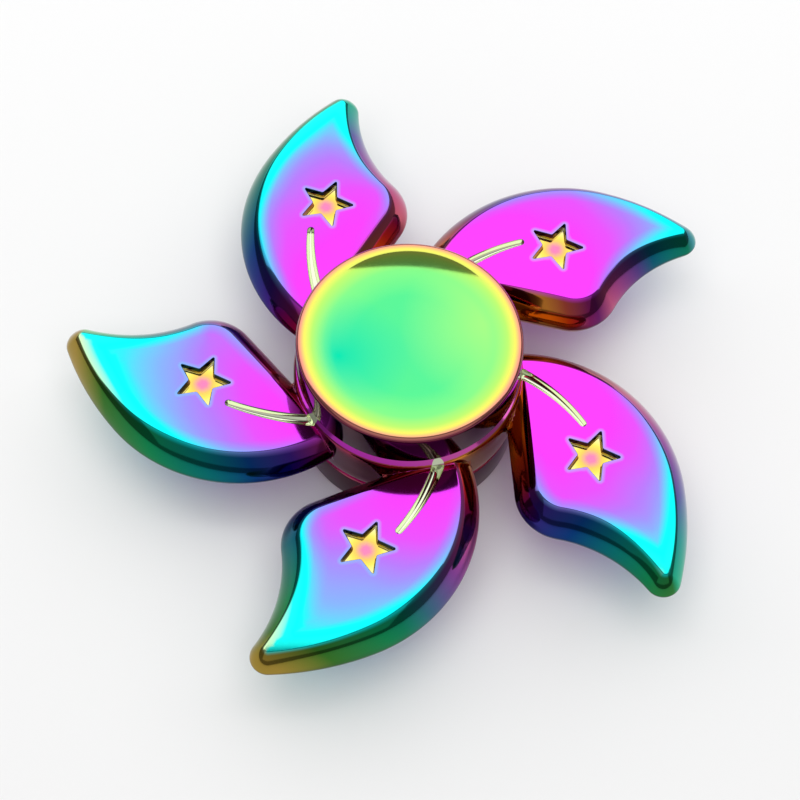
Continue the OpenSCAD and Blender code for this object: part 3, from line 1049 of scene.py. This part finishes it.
STEELS = {
    "bearing_steel": steel("bearing_steel", (0.80, 0.80, 0.82), 0.16, 0.28, 900),
    "ball_steel": steel("ball_steel", (0.88, 0.88, 0.90), 0.05, 0.10, 700),
    "cage_steel": steel("cage_steel", (0.72, 0.71, 0.68), 0.28, 0.42, 1200),
    "shield_steel": steel("shield_steel", (0.76, 0.77, 0.79), 0.22, 0.34, 1000),
    "spring_steel": steel("spring_steel", (0.55, 0.56, 0.58), 0.22, 0.34, 1500),
}
for part in frame["record"]["subparts"]:
    if part["material_slot"] in STEELS:
        paint(frame["nodes"][part["node"]], STEELS[part["material_slot"]])


# ---------------------------------------------------------------- stage, light and camera
FLOOR_REACH = 3.0


def stage():
    """Plain pale floor under the spinner."""
    mesh = bpy.data.meshes.new("floor")
    reach = FLOOR_REACH
    corners = [(-reach, -reach, 0), (reach, -reach, 0), (reach, reach, 0), (-reach, reach, 0)]
    mesh.from_pydata(corners, [], [(0, 1, 2, 3)])
    floor = bpy.data.objects.new("floor", mesh)
    bpy.context.scene.collection.objects.link(floor)
    floor.data.materials.append(plain("floor", (0.93, 0.93, 0.93), 0.6))


TURN = Matrix.Rotation(math.radians(VIEW_TURN), 4, "Z")    # camera and lights share this turn


def area_light(name, place, target, size, brightness):
    """Softbox facing its target. Its energy grows with its area, so brightness holds for any size."""
    light = bpy.data.lights.new(name, "AREA")
    light.shape = "RECTANGLE"
    light.size, light.size_y = size
    light.energy = brightness * math.pi * size[0] * size[1]
    obj = bpy.data.objects.new(name, light)
    aim = (Vector(place) - Vector(target)).to_track_quat("Z", "Y").to_matrix().to_4x4()
    obj.matrix_world = TURN @ Matrix.Translation(place) @ aim
    bpy.context.scene.collection.objects.link(obj)
    return obj


def lights():
    """A large softbox behind and above, a weaker one in front, and a fill without reflections."""
    world = bpy.data.worlds.new("studio")
    world.use_nodes = True
    world.node_tree.nodes["Background"].inputs["Color"].default_value = (1, 1, 1, 1)
    world.node_tree.nodes["Background"].inputs["Strength"].default_value = 0.2
    bpy.context.scene.world = world
    area_light("overhead", (-0.12, 0.515, 0.34), (-0.12, 0.515, 0), (1.3, 1.0), 0.97)
    area_light("front", (0.0, -0.50, 0.42), (0, 0, 0), (1.4, 0.75), 0.32)
    fill = area_light("fill", (0.0, -0.2, 0.9), (0, 0, 0), (0.9, 0.9), 2.0)
    fill.visible_glossy = False


VIEW_ELEVATION, VIEW_ROLL = 62.15, 3.02     # degrees
VIEW_DISTANCE = 203.7                       # millimetres from the point looked at
VIEW_AIM = (-0.602, -2.379, 7.3)
LENS, SENSOR_W = 99.28, 36.0


def camera():
    """Camera that looks down at the spinner from in front, before the turn."""
    elevation, roll = math.radians(VIEW_ELEVATION), math.radians(VIEW_ROLL)
    back = Vector((0, -math.cos(elevation), math.sin(elevation)))
    right = Vector((1, 0, 0))
    up = Vector((0, math.sin(elevation), math.cos(elevation)))
    camera_x = right * math.cos(roll) + up * math.sin(roll)
    camera_y = up * math.cos(roll) - right * math.sin(roll)
    place = (Vector(VIEW_AIM) + back * VIEW_DISTANCE) * MM
    axes = Matrix((camera_x, camera_y, back)).transposed().to_4x4()
    data = bpy.data.cameras.new("camera")
    data.lens = LENS
    data.sensor_width = SENSOR_W
    data.clip_start, data.clip_end = 0.01, 20.0
    obj = bpy.data.objects.new("camera", data)
    obj.matrix_world = TURN @ Matrix.Translation(place) @ axes
    bpy.context.scene.collection.objects.link(obj)
    bpy.context.scene.camera = obj


stage()
lights()
camera()
bpy.context.scene.view_settings.view_transform = "Standard"
